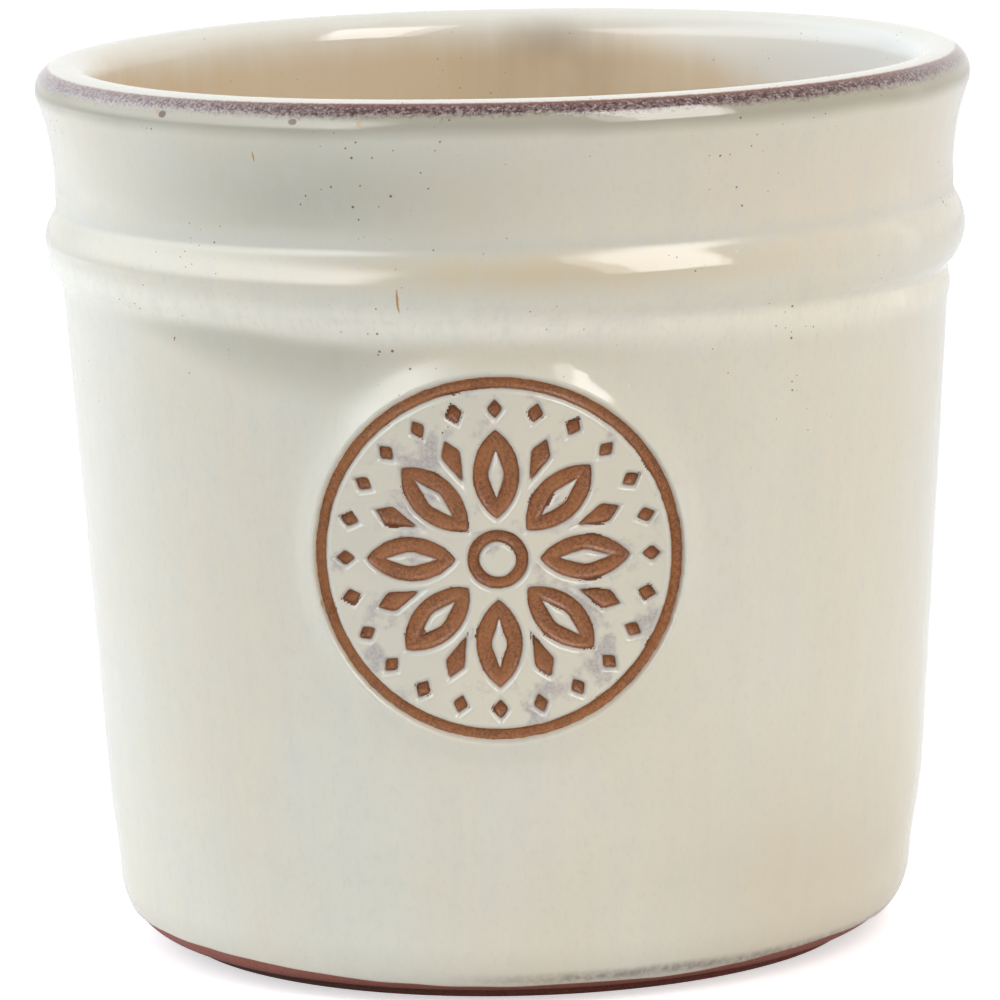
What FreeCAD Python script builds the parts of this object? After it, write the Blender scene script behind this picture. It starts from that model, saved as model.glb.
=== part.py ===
import FreeCAD
import Part
import Sketcher
import math
import os

Vector = FreeCAD.Vector

# Glazed pot with a stamped seal, in millimetres.
# The axis is Z, the foot stands on Z = 0 and the seal faces -Y.

doc = FreeCAD.newDocument("GlazedPot")

# Driving sizes of the fired clay, its coats and the seal
driving_sizes = (
    ("pot_height", 284.2, "clay, ground to crest of the lip"),
    ("lip_radius", 149.2, "clay, widest part of the lip"),
    ("lip_round", 7.7, "outer rounding of the lip"),
    ("lip_flat", 1.0, "level top between the two roundings"),
    ("lip_inner_round", 7.8, "inner rounding of the lip"),
    ("flare_round", 80.0, "hollow curve from the neck up to the lip"),
    ("neck_inset", 5.6, "neck set back from the lip"),
    ("neck_length", 5.6, "upright part of the neck"),
    ("bead_proud", 3.6, "crown of the raised bead, out from the neck"),
    ("bead_round", 15.2, "crown curve of the bead"),
    ("bead_fillet", 6.8, "hollow curves above and below the bead"),
    ("wall_step", 0.7, "wall at the height of the bead, set back from the neck"),
    ("wall_taper", 14.7, "loss of radius from the bead to the ground"),
    ("wall_thickness", 10.4, "clay wall, run on to the ground"),
    ("heel_round", 20.0, "rounding under the wall"),
    ("foot_inset", 0.8, "foot ring set back under the heel"),
    ("foot_height", 2.5, "ground to the underside of the heel"),
    ("foot_width", 13.0, "width of the foot ring"),
    ("base_recess", 5.0, "ground to the underside of the floor"),
    ("floor_thickness", 12.0, "clay floor"),
    ("floor_round", 16.0, "inside corner of wall and floor"),
    ("drain_radius", 11.0, "drain hole"),
    ("drain_bare", 4.0, "bare clay left round the drain hole"),
    ("glaze_thickness", 0.8, "glaze coats"),
    ("glaze_line_rise", 2.9, "underside of the heel up to the edge of the outer coat"),
    ("seal_drop", 84.2, "crown of the bead down to the centre of the seal"),
    ("seal_radius", 57.0, "outer edge of the seal's ring line"),
    ("seal_depth", 0.7, "stamped lines, below the clay wall"),
    ("stain_thickness", 0.25, "brown wash on the floor of the lines"),
    ("ring_width", 3.5, "ring line"),
    ("lozenge_count", 24, "lozenges inside the ring"),
    ("lozenge_gap", 3.8, "ring line to the lozenges"),
    ("lozenge_length", 5.4, "one lozenge, along the radius"),
    ("lozenge_width", 4.0, "one lozenge, across"),
    ("petal_count", 8, "petals of the rosette, with a bud between each two"),
    ("petal_gap", 3.8, "lozenges to the tips of the petals"),
    ("petal_width", 14.0, "widest part of a petal"),
    ("vein_inset", 6.2, "tips of a petal to the tips of the vein left standing in it"),
    ("vein_width", 3.6, "widest part of a vein"),
    ("bud_length", 15.0, "one bud, along the radius"),
    ("bud_head", 5.0, "outer tip of a bud to its widest part"),
    ("bud_width", 6.4, "widest part of a bud"),
    ("hub_gap", 3.5, "hub line to the inner tips of the petals"),
    ("hub_radius", 9.0, "outer edge of the hub line"),
    ("hub_line", 4.0, "width of the hub line"),
)

sheet = doc.addObject("Spreadsheet::Sheet", "Sizes")
size = {}
for row, (alias, value, note) in enumerate(driving_sizes, start=1):
    sheet.set(f"A{row}", note)
    sheet.set(f"B{row}", str(value))
    sheet.setAlias(f"B{row}", alias)
    size[alias] = value
doc.recompute()

# Radii, from the lip inwards
lip_centre_x = "(Sizes.lip_radius - Sizes.lip_round)"
crest_x = f"({lip_centre_x} - Sizes.lip_flat)"
neck_radius = "(Sizes.lip_radius - Sizes.neck_inset)"
bead_centre_x = f"({neck_radius} + Sizes.bead_proud - Sizes.bead_round)"
wall_top_radius = f"({neck_radius} - Sizes.wall_step)"
wall_foot_radius = f"({wall_top_radius} - Sizes.wall_taper)"
inner_foot_radius = f"({wall_foot_radius} - Sizes.wall_thickness)"
liner_stop = "(Sizes.drain_radius + Sizes.drain_bare)"

# Heights, with the bead and the seal hung from the lip
flare_drop = "sqrt(Sizes.neck_inset * (2 * Sizes.lip_round + 2 * Sizes.flare_round - Sizes.neck_inset))"
bead_rise = "sqrt(Sizes.bead_proud * (2 * Sizes.bead_round + 2 * Sizes.bead_fillet - Sizes.bead_proud))"
flare_height = f"(Sizes.pot_height - Sizes.lip_round - {flare_drop})"
bead_height = f"({flare_height} - Sizes.neck_length - {bead_rise})"
seal_height = f"({bead_height} - Sizes.seal_drop)"
heel_height = "(Sizes.foot_height + Sizes.heel_round)"
glaze_line = "(Sizes.foot_height + Sizes.glaze_line_rise)"
floor_top = "(Sizes.base_recess + Sizes.floor_thickness)"

# Places along a radius of the seal, from the ring line inwards and from the hub outwards
field_radius = "(Sizes.seal_radius - Sizes.ring_width)"
lozenge_end = f"({field_radius} - Sizes.lozenge_gap)"
lozenge_start = f"({lozenge_end} - Sizes.lozenge_length)"
petal_end = f"({lozenge_start} - Sizes.petal_gap)"
petal_start = "(Sizes.hub_radius + Sizes.hub_gap)"
vein_start = f"({petal_start} + Sizes.vein_inset)"
vein_end = f"({petal_end} - Sizes.vein_inset)"
bud_start = f"({petal_end} - Sizes.bud_length)"
bud_widest = f"({petal_end} - Sizes.bud_head)"
hub_inner_radius = "(Sizes.hub_radius - Sizes.hub_line)"

START, END, CENTRE = range(1, 4)
ROOT_POINT = (-1, 1)
X_AXIS, Y_AXIS = range(-1, -3, -1)


def mm(expression):
    return float(sheet.evalExpression(expression))


# Sketch helpers: each bound size starts from the drawn shape and then follows the sheet

def add_line(sketch, start, end):
    return sketch.addGeometry(Part.LineSegment(start, end), False)


def add_circle(sketch, centre, radius):
    return sketch.addGeometry(Part.Circle(centre, Vector(0, 0, 1), radius), False)


# The arc runs anticlockwise from start to end
def add_arc(sketch, centre, start, end):
    first = start - centre
    last = end - centre
    first_angle = math.atan2(first.y, first.x)
    last_angle = math.atan2(last.y, last.x)
    if last_angle < first_angle:
        last_angle += 2 * math.pi
    circle = Part.Circle(centre, Vector(0, 0, 1), first.Length)
    return sketch.addGeometry(Part.ArcOfCircle(circle, first_angle, last_angle), False)


def constrain(sketch, kind, *references):
    return sketch.addConstraint(Sketcher.Constraint(kind, *references))


def bind(sketch, number, expression):
    sketch.setExpression(f"Constraints[{number}]", expression)


def bind_radius(sketch, curve, expression):
    drawn = sketch.Geometry[curve].Radius
    bind(sketch, constrain(sketch, "Radius", curve, drawn), expression)


def bind_x(sketch, curve, point, expression):
    drawn = sketch.getPoint(curve, point).x
    bind(sketch, constrain(sketch, "DistanceX", curve, point, drawn), expression)


def bind_y(sketch, curve, point, expression):
    drawn = sketch.getPoint(curve, point).y
    bind(sketch, constrain(sketch, "DistanceY", curve, point, drawn), expression)


def bind_length(sketch, line, expression):
    drawn = (sketch.getPoint(line, END) - sketch.getPoint(line, START)).Length
    bind(sketch, constrain(sketch, "Distance", line, drawn), expression)


def origin_feature(body, role):
    return next(item for item in body.Origin.OriginFeatures if item.Role == role)


def sketch_on(body, name, role):
    sketch = body.newObject("Sketcher::SketchObject", name)
    sketch.AttachmentSupport = [(origin_feature(body, role), "")]
    sketch.MapMode = "FlatFace"
    return sketch


# The point where two touching circles meet
def touch(first, first_radius, second, second_radius):
    return first + (second - first) * (first_radius / (first_radius + second_radius))


# Outside of the clay, from the crest of the lip down to low_end above the ground.
# Gives back the level line at the crest and the heel arc, whose start is its low end.
def draw_outer_line(sketch, low_end):
    lip_round = size["lip_round"]
    flare_round = size["flare_round"]
    bead_round = size["bead_round"]
    bead_fillet = size["bead_fillet"]
    heel_round = size["heel_round"]
    neck_x = mm(neck_radius)
    bead_y = mm(bead_height)
    slope = size["wall_taper"] / bead_y
    out = Vector(1, -slope, 0).normalize()

    lip_centre = Vector(mm(lip_centre_x), size["pot_height"] - lip_round, 0)
    lip_top = lip_centre + Vector(0, lip_round, 0)
    crest = lip_top - Vector(size["lip_flat"], 0, 0)
    flare_centre = Vector(neck_x + flare_round, mm(flare_height), 0)
    lip_foot = touch(lip_centre, lip_round, flare_centre, flare_round)
    neck_top = Vector(neck_x, flare_centre.y, 0)
    neck_foot = neck_top - Vector(0, size["neck_length"], 0)

    over_centre = neck_foot + Vector(bead_fillet, 0, 0)
    bead_centre = Vector(mm(bead_centre_x), bead_y, 0)
    bead_top = touch(bead_centre, bead_round, over_centre, bead_fillet)

    # The hollow under the bead touches both the bead and the sloping wall
    gap = mm(wall_top_radius) + bead_fillet / out.x - bead_centre.x
    spread = 1 + slope ** 2
    drop = (slope * gap + math.sqrt((bead_round + bead_fillet) ** 2 * spread - gap ** 2)) / spread
    under_centre = bead_centre + Vector(gap - slope * drop, -drop, 0)
    bead_foot = touch(bead_centre, bead_round, under_centre, bead_fillet)
    wall_top = under_centre - out * bead_fillet

    heel_y = mm(heel_height)
    heel_centre = Vector(mm(wall_foot_radius) + slope * heel_y - heel_round / out.x, heel_y, 0)
    wall_foot = heel_centre + out * heel_round
    heel_drop = heel_y - low_end
    heel_foot = heel_centre + Vector(math.sqrt(heel_round ** 2 - heel_drop ** 2), -heel_drop, 0)

    level = add_line(sketch, crest, lip_top)
    lip = add_arc(sketch, lip_centre, lip_foot, lip_top)
    flare = add_arc(sketch, flare_centre, lip_foot, neck_top)
    neck = add_line(sketch, neck_top, neck_foot)
    over = add_arc(sketch, over_centre, neck_foot, bead_top)
    bead = add_arc(sketch, bead_centre, bead_foot, bead_top)
    under = add_arc(sketch, under_centre, bead_foot, wall_top)
    wall = add_line(sketch, wall_top, wall_foot)
    heel = add_arc(sketch, heel_centre, heel_foot, wall_foot)
    guide = add_line(sketch, Vector(mm(wall_foot_radius), 0, 0), Vector(mm(wall_top_radius), bead_y, 0))
    sketch.setConstruction(guide, True)

    constrain(sketch, "Tangent", level, END, lip, END)
    constrain(sketch, "Tangent", lip, START, flare, START)
    constrain(sketch, "Tangent", flare, END, neck, START)
    constrain(sketch, "Tangent", neck, END, over, START)
    constrain(sketch, "Tangent", over, END, bead, END)
    constrain(sketch, "Tangent", bead, START, under, START)
    constrain(sketch, "Tangent", under, END, wall, START)
    constrain(sketch, "Tangent", wall, END, heel, END)
    constrain(sketch, "Horizontal", level)
    constrain(sketch, "Vertical", neck)
    constrain(sketch, "PointOnObject", guide, START, X_AXIS)
    constrain(sketch, "Horizontal", guide, END, bead, CENTRE)
    constrain(sketch, "PointOnObject", wall, START, guide)
    constrain(sketch, "PointOnObject", wall, END, guide)

    bind_y(sketch, level, START, "Sizes.pot_height")
    bind_length(sketch, level, "Sizes.lip_flat")
    bind_radius(sketch, lip, "Sizes.lip_round")
    bind_x(sketch, lip, CENTRE, lip_centre_x)
    bind_radius(sketch, flare, "Sizes.flare_round")
    bind_x(sketch, neck, START, neck_radius)
    bind_length(sketch, neck, "Sizes.neck_length")
    bind_radius(sketch, over, "Sizes.bead_fillet")
    bind_radius(sketch, bead, "Sizes.bead_round")
    bind_x(sketch, bead, CENTRE, bead_centre_x)
    bind_radius(sketch, under, "Sizes.bead_fillet")
    bind_x(sketch, guide, START, wall_foot_radius)
    bind_x(sketch, guide, END, wall_top_radius)
    bind_radius(sketch, heel, "Sizes.heel_round")
    bind_y(sketch, heel, CENTRE, heel_height)
    return level, heel


# Inside of the clay, from the crest of the lip down to the floor.
# Gives back the inner lip arc, whose start is the crest, and the floor line, whose start is
# floor_start from the axis.
def draw_inner_line(sketch, floor_start):
    lip_round = size["lip_inner_round"]
    floor_round = size["floor_round"]
    lip_centre = Vector(mm(crest_x), size["pot_height"] - lip_round, 0)
    crest = lip_centre + Vector(0, lip_round, 0)

    # The inner wall leaves the ground inside the outer one and touches the lip
    ground_point = Vector(mm(inner_foot_radius), 0, 0)
    reach = lip_centre - ground_point
    lean = math.atan2(reach.y, reach.x) + math.asin(lip_round / reach.Length)
    out = Vector(math.sin(lean), -math.cos(lean), 0)
    wall_top = lip_centre - out * lip_round

    floor_y = mm(floor_top)
    corner_y = floor_y + floor_round
    corner_x = ground_point.x + corner_y / math.tan(lean) - floor_round / out.x
    corner_centre = Vector(corner_x, corner_y, 0)
    wall_foot = corner_centre + out * floor_round
    floor_end = Vector(corner_x, floor_y, 0)

    lip = add_arc(sketch, lip_centre, crest, wall_top)
    wall = add_line(sketch, wall_top, wall_foot)
    corner = add_arc(sketch, corner_centre, floor_end, wall_foot)
    floor = add_line(sketch, Vector(floor_start, floor_y, 0), floor_end)
    ground = sketch.addGeometry(Part.Point(ground_point), True)

    constrain(sketch, "Tangent", lip, END, wall, START)
    constrain(sketch, "Tangent", wall, END, corner, END)
    constrain(sketch, "Tangent", corner, START, floor, END)
    constrain(sketch, "Horizontal", floor)
    constrain(sketch, "PointOnObject", ground, START, X_AXIS)
    constrain(sketch, "PointOnObject", ground, START, wall)

    bind_x(sketch, ground, START, inner_foot_radius)
    bind_radius(sketch, lip, "Sizes.lip_inner_round")
    bind_radius(sketch, corner, "Sizes.floor_round")
    bind_y(sketch, floor, START, floor_top)
    return lip, floor


# Thrown clay: one profile turned about the axis, then the drain hole

thrown = doc.addObject("PartDesign::Body", "ThrownClay")
profile = sketch_on(thrown, "ClayProfile", "XZ_Plane")
level, heel = draw_outer_line(profile, size["foot_height"])
inner_lip, floor = draw_inner_line(profile, 0)

heel_foot = profile.getPoint(heel, START)
floor_middle = profile.getPoint(floor, START)
foot_top = heel_foot - Vector(size["foot_inset"], 0, 0)
foot_outer = Vector(foot_top.x, 0, 0)
foot_inner = foot_outer - Vector(size["foot_width"], 0, 0)
recess_corner = foot_inner + Vector(0, size["base_recess"], 0)
recess_middle = Vector(0, size["base_recess"], 0)

ledge = add_line(profile, heel_foot, foot_top)
foot_side = add_line(profile, foot_top, foot_outer)
foot_face = add_line(profile, foot_outer, foot_inner)
foot_back = add_line(profile, foot_inner, recess_corner)
underside = add_line(profile, recess_corner, recess_middle)
core = add_line(profile, recess_middle, floor_middle)

constrain(profile, "Tangent", inner_lip, START, level, START)
constrain(profile, "Tangent", heel, START, ledge, START)
constrain(profile, "Coincident", ledge, END, foot_side, START)
constrain(profile, "Coincident", foot_side, END, foot_face, START)
constrain(profile, "Coincident", foot_face, END, foot_back, START)
constrain(profile, "Coincident", foot_back, END, underside, START)
constrain(profile, "Coincident", underside, END, core, START)
constrain(profile, "Coincident", core, END, floor, START)
constrain(profile, "Horizontal", ledge)
constrain(profile, "Vertical", foot_side)
constrain(profile, "PointOnObject", foot_face, START, X_AXIS)
constrain(profile, "PointOnObject", foot_face, END, X_AXIS)
constrain(profile, "Vertical", foot_back)
constrain(profile, "Horizontal", underside)
constrain(profile, "PointOnObject", core, START, Y_AXIS)
constrain(profile, "PointOnObject", core, END, Y_AXIS)
bind_length(profile, ledge, "Sizes.foot_inset")
bind_length(profile, foot_face, "Sizes.foot_width")
bind_y(profile, underside, START, "Sizes.base_recess")

turned = thrown.newObject("PartDesign::Revolution", "TurnedClay")
turned.Profile = profile
turned.ReferenceAxis = (profile, ["V_Axis"])
turned.Angle = 360

drain_outline = sketch_on(thrown, "DrainOutline", "XY_Plane")
drain_edge = add_circle(drain_outline, Vector(0, 0, 0), size["drain_radius"])
constrain(drain_outline, "Coincident", drain_edge, CENTRE, *ROOT_POINT)
bind_radius(drain_outline, drain_edge, "Sizes.drain_radius")
drain = thrown.newObject("PartDesign::Pocket", "DrainHole")
drain.Profile = drain_outline
drain.Type = "ThroughAll"
drain.Reversed = True
thrown.Tip = drain
doc.recompute()


# Glaze coats: the same lines as the clay, turned into a skin and thickened to the open side

def upright_sketch(name):
    sketch = doc.addObject("Sketcher::SketchObject", name)
    sketch.Placement = FreeCAD.Placement(Vector(0, 0, 0), FreeCAD.Rotation(Vector(1, 0, 0), 90))
    return sketch


def coat(name, line, open_side):
    skin = doc.addObject("Part::Revolution", name + "Skin")
    skin.Source = line
    skin.Base = Vector(0, 0, 0)
    skin.Axis = Vector(0, 0, 1)
    skin.Angle = 360
    skin.Solid = False
    layer = doc.addObject("Part::Offset", name)
    layer.Source = skin
    layer.Fill = True
    layer.setExpression("Value", f"{open_side} * Sizes.glaze_thickness")
    return layer


outer_line = upright_sketch("OuterGlazeLine")
outer_heel = draw_outer_line(outer_line, mm(glaze_line))[1]
bind_y(outer_line, outer_heel, START, glaze_line)
outer_coat = coat("OuterCoat", outer_line, -1)

inner_line = upright_sketch("InnerGlazeLine")
liner_lip, liner_floor = draw_inner_line(inner_line, mm(liner_stop))
bind_x(inner_line, liner_lip, START, crest_x)
bind_x(inner_line, liner_lip, CENTRE, crest_x)
bind_y(inner_line, liner_lip, START, "Sizes.pot_height")
bind_x(inner_line, liner_floor, START, liner_stop)
inner_glaze = coat("InnerCoat", inner_line, 1)
doc.recompute()


# Seal die: a ring line, a circle of lozenges and a rosette, pressed in along Y

die = doc.addObject("PartDesign::Body", "SealDie")
die.AllowCompound = True
die.setExpression("Placement.Base.z", seal_height)
press_depth = "(Sizes.lip_radius + Sizes.glaze_thickness)"


def press(outline):
    pad = die.newObject("PartDesign::Pad", outline.Name + "Press")
    pad.Profile = outline
    pad.setExpression("Length", press_depth)
    die.Tip = pad
    return pad


def press_around(outline, count):
    pad = press(outline)
    pattern = die.newObject("PartDesign::PolarPattern", outline.Name + "Ring")
    pattern.Originals = [pad]
    pattern.Axis = (origin_feature(die, "Y_Axis"), [""])
    pattern.Angle = 360
    pattern.setExpression("Occurrences", count)
    die.Tip = pattern
    doc.recompute()


def draw_ring(name, outer_radius, inner_radius):
    outline = sketch_on(die, name, "XZ_Plane")
    for radius in (outer_radius, inner_radius):
        edge = add_circle(outline, Vector(0, 0, 0), mm(radius))
        constrain(outline, "Coincident", edge, CENTRE, *ROOT_POINT)
        bind_radius(outline, edge, radius)
    return outline


# A pointed oval on the sketch's Y axis, from two equal arcs
def draw_almond(outline, low, high, width):
    arc_radius = f"(({high} - {low}) ^ 2 / {width} + {width}) / 4"
    low_tip = Vector(0, mm(low), 0)
    high_tip = Vector(0, mm(high), 0)
    middle = (low_tip + high_tip) / 2
    shift = Vector(mm(arc_radius) - mm(width) / 2, 0, 0)
    right = add_arc(outline, middle - shift, low_tip, high_tip)
    left = add_arc(outline, middle + shift, high_tip, low_tip)
    constrain(outline, "Coincident", right, START, left, END)
    constrain(outline, "Coincident", right, END, left, START)
    constrain(outline, "PointOnObject", right, START, Y_AXIS)
    constrain(outline, "PointOnObject", right, END, Y_AXIS)
    constrain(outline, "Equal", right, left)
    bind_y(outline, right, START, low)
    bind_y(outline, right, END, high)
    bind_radius(outline, right, arc_radius)


# A kite on the sketch's Y axis, with its side corners at the height called widest
def draw_kite(outline, low, widest, high, width):
    corners = (
        Vector(0, mm(low), 0),
        Vector(mm(width) / 2, mm(widest), 0),
        Vector(0, mm(high), 0),
        Vector(-mm(width) / 2, mm(widest), 0),
    )
    sides = [add_line(outline, corners[turn], corners[(turn + 1) % 4]) for turn in range(4)]
    for turn in range(4):
        constrain(outline, "Coincident", sides[turn], END, sides[(turn + 1) % 4], START)
    constrain(outline, "PointOnObject", sides[0], START, Y_AXIS)
    constrain(outline, "PointOnObject", sides[2], START, Y_AXIS)
    constrain(outline, "Symmetric", sides[1], START, sides[3], START, Y_AXIS)
    bind_y(outline, sides[0], START, low)
    bind_y(outline, sides[1], START, widest)
    bind_y(outline, sides[2], START, high)
    bind_x(outline, sides[1], START, f"{width} / 2")


press(draw_ring("RingLine", "Sizes.seal_radius", field_radius))
press(draw_ring("HubLine", "Sizes.hub_radius", hub_inner_radius))
doc.recompute()

lozenge = sketch_on(die, "Lozenge", "XZ_Plane")
lozenge_widest = f"({lozenge_end} - Sizes.lozenge_length / 2)"
draw_kite(lozenge, lozenge_start, lozenge_widest, lozenge_end, "Sizes.lozenge_width")
press_around(lozenge, "Sizes.lozenge_count")

petal = sketch_on(die, "Petal", "XZ_Plane")
draw_almond(petal, petal_start, petal_end, "Sizes.petal_width")
draw_kite(petal, vein_start, f"({vein_start} + {vein_end}) / 2", vein_end, "Sizes.vein_width")
press_around(petal, "Sizes.petal_count")

# The buds are turned half a step from the petals
bud = sketch_on(die, "Bud", "XZ_Plane")
bud.setExpression("AttachmentOffset.Rotation.Angle", "180 / Sizes.petal_count")
draw_kite(bud, bud_start, bud_widest, petal_end, "Sizes.bud_width")
press_around(bud, "Sizes.petal_count")


# Solids that set how far the seal reaches: cones along the wall and round bars through it

def wall_cone(name, depth):
    cone = doc.addObject("Part::Cone", name)
    cone.setExpression("Radius1", f"{wall_foot_radius} - {depth}")
    cone.setExpression("Radius2", f"{wall_top_radius} - {depth}")
    cone.setExpression("Height", bead_height)
    return cone


def seal_bar(name, radius):
    bar = doc.addObject("Part::Cylinder", name)
    bar.Placement = FreeCAD.Placement(Vector(0, 0, 0), FreeCAD.Rotation(Vector(1, 0, 0), 90))
    bar.setExpression("Placement.Base.z", seal_height)
    bar.setExpression("Radius", radius)
    bar.setExpression("Height", press_depth)
    return bar


def boolean(kind, name, base, tool):
    result = doc.addObject("Part::" + kind, name)
    result.Base = base
    result.Tool = tool
    return result


line_floor = wall_cone("LineFloor", "Sizes.seal_depth")
stain_top = wall_cone("StainTop", "(Sizes.seal_depth - Sizes.stain_thickness)")
seal_window = seal_bar("SealWindow", "Sizes.seal_radius")
seal_field = seal_bar("SealField", field_radius)

stamped_lines = boolean("Cut", "StampedLines", die, line_floor)
clay_body = boolean("Cut", "ClayBody", thrown, stamped_lines)
outer_glaze = boolean("Cut", "OuterGlaze", outer_coat, seal_window)
field_coat = boolean("Common", "FieldCoat", outer_coat, seal_field)
seal_field_glaze = boolean("Cut", "SealFieldGlaze", field_coat, die)
stain_skin = boolean("Cut", "StainSkin", stain_top, line_floor)
seal_stain = boolean("Common", "SealStain", stain_skin, die)
doc.recompute()

nodes = {
    "clay_body": clay_body,
    "outer_glaze": outer_glaze,
    "inner_glaze": inner_glaze,
    "seal_field_glaze": seal_field_glaze,
    "seal_stain": seal_stain,
}

for item in doc.Objects:
    if "Invalid" in item.State or "Error" in item.State:
        raise RuntimeError(f"{item.Name} did not build: {item.State}")

os.makedirs("parts", exist_ok=True)
for label, node in nodes.items():
    node.Label = label
    shape = node.Shape
    if shape.isNull() or not shape.isValid() or not shape.Solids:
        raise RuntimeError(f"{label} has no valid solid")
    shape.exportStep(f"parts/{label}.step")
    print(f"{label}: {len(shape.Solids)} solids, {shape.Volume / 1000:.2f} cm3")
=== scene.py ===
import math
import bpy
from mathutils import Matrix, Vector, noise


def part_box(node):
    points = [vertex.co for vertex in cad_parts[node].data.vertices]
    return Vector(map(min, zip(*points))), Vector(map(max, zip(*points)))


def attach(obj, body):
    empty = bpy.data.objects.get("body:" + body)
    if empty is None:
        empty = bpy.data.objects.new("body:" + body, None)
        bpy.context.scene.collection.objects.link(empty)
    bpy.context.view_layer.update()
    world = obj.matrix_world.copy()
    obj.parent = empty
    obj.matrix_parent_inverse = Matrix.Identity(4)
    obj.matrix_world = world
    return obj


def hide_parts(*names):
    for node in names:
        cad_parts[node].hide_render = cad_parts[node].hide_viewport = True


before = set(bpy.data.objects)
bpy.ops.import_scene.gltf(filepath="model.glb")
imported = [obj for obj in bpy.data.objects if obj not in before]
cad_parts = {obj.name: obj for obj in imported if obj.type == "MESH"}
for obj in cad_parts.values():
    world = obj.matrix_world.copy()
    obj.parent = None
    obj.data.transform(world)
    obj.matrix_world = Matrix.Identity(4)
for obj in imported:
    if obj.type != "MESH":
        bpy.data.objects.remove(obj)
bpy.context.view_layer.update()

# Sizes that all the pieces share, in metres, taken from the frame where it holds them
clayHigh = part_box("clay_body")[1]
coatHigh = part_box("outer_glaze")[1]
fieldLow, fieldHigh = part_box("seal_field_glaze")
glaze = coatHigh.z - clayHigh.z
form = {
    "height": clayHigh.z,
    "lipRound": 0.0077,  # outer rounding of the lip
    "lipFlat": 0.001,
    "lipInner": 0.0078,  # inner rounding of the lip
    "flare": 0.080,  # hollow of the neck under the lip
    "neckIn": 0.0056,  # how far the neck stands in from the lip
    "neckLong": 0.0056,
    "beadProud": 0.0036,
    "bead": 0.0152,
    "beadFillet": 0.0068,  # hollows above and below the bead
    "wallStep": 0.0007,  # how far the wall stands in from the neck
    "wallTaper": 0.0147,
    "wallThick": 0.0104,
    "heel": 0.020,  # rounding down to the foot
    "footIn": 0.0002,
    "footHigh": 0.0025,
    "footWide": 0.013,
    "recess": 0.005,  # hollow under the base
    "floorTop": 0.017,
    "floorRound": 0.016,
    "drain": 0.011,
    "linerStop": 0.015,
    "glazeLine": 0.0054,
}
sealMiddle = (fieldLow.z + fieldHigh.z) / 2
sealRadius = 0.057


def arc(centre, radius, start, end, step=0.09):
    count = max(2, math.ceil(abs(end - start) / step))
    turns = [start + (end - start) * i / count for i in range(count + 1)]
    return [(centre[0] + radius * math.cos(t), centre[1] + radius * math.sin(t)) for t in turns]


def straight(first, last, step=0.003):
    count = max(1, round(math.dist(first, last) / step))
    return [
        (first[0] + (last[0] - first[0]) * i / count, first[1] + (last[1] - first[1]) * i / count)
        for i in range(count + 1)
    ]


def bearing(a, b):
    return math.atan2(b[1] - a[1], b[0] - a[0])


# Centres of the tangent rounds down the pot's outside, worked out in the same way as in the CAD
lipReach = clayHigh.x - form["lipRound"]
lipCentre = (lipReach, form["height"] - form["lipRound"])
neck = clayHigh.x - form["neckIn"]
flareReach = neck + form["flare"]
flareDrop = math.sqrt((form["flare"] + form["lipRound"]) ** 2 - (flareReach - lipReach) ** 2)
flareCentre = (flareReach, lipCentre[1] - flareDrop)
overCentre = (neck + form["beadFillet"], flareCentre[1] - form["neckLong"])
beadCentre = (
    neck + form["beadProud"] - form["bead"],
    overCentre[1] - math.sqrt(
        (form["beadFillet"] + form["bead"]) ** 2
        - (overCentre[0] - neck - form["beadProud"] + form["bead"]) ** 2
    ),
)
lean = form["wallTaper"] / beadCentre[1]
wallAngle = -math.atan(lean)
wallOut = math.cos(wallAngle)
wallFoot = neck - form["wallStep"] - form["wallTaper"]


def wallRadius(z):
    return wallFoot + z * lean


# The hollow under the bead touches both the bead and the sloping wall
underGap = wallRadius(beadCentre[1]) + form["beadFillet"] / wallOut - beadCentre[0]
underReach = math.sqrt((form["bead"] + form["beadFillet"]) ** 2 * (1 + lean ** 2) - underGap ** 2)
underDrop = (lean * underGap + underReach) / (1 + lean ** 2)
underCentre = (beadCentre[0] + underGap - lean * underDrop, beadCentre[1] - underDrop)
heelLevel = form["footHigh"] + form["heel"]
heelCentre = (wallRadius(heelLevel) - form["heel"] / wallOut, heelLevel)
glazeTurn = math.asin((form["glazeLine"] - heelCentre[1]) / form["heel"])

# The inner wall leaves the ground inside the outer one and touches the lip
innerFoot = wallFoot - form["wallThick"]
innerCentre = (lipReach - form["lipFlat"], form["height"] - form["lipInner"])
innerReach = math.dist(innerCentre, (innerFoot, 0))
innerLean = bearing((innerFoot, 0), innerCentre) + math.asin(form["lipInner"] / innerReach)
innerAngle = innerLean + math.pi / 2
cornerLevel = form["floorTop"] + form["floorRound"]
cornerReach = innerFoot + cornerLevel / math.tan(innerLean) - form["floorRound"] / math.sin(innerLean)
cornerCentre = (cornerReach, cornerLevel)


def outerLine(skin, heelTurn):
    line = [(innerCentre[0], form["height"] + skin)]
    line += arc(lipCentre, form["lipRound"] + skin, math.pi / 2, bearing(lipCentre, flareCentre))
    flareStart = bearing(flareCentre, lipCentre)
    line += arc(flareCentre, form["flare"] - skin, flareStart, math.pi, 0.03)
    overEnd = bearing(overCentre, beadCentre) + 2 * math.pi
    line += arc(overCentre, form["beadFillet"] - skin, math.pi, overEnd)
    line += arc(beadCentre, form["bead"] + skin, overEnd - math.pi, bearing(beadCentre, underCentre))
    underStart = bearing(underCentre, beadCentre)
    underLine = arc(underCentre, form["beadFillet"] - skin, underStart, math.pi + wallAngle)
    heelLine = arc(heelCentre, form["heel"] + skin, wallAngle, heelTurn, 0.07)
    return line + underLine + straight(underLine[-1], heelLine[0])[1:] + heelLine[1:]


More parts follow.
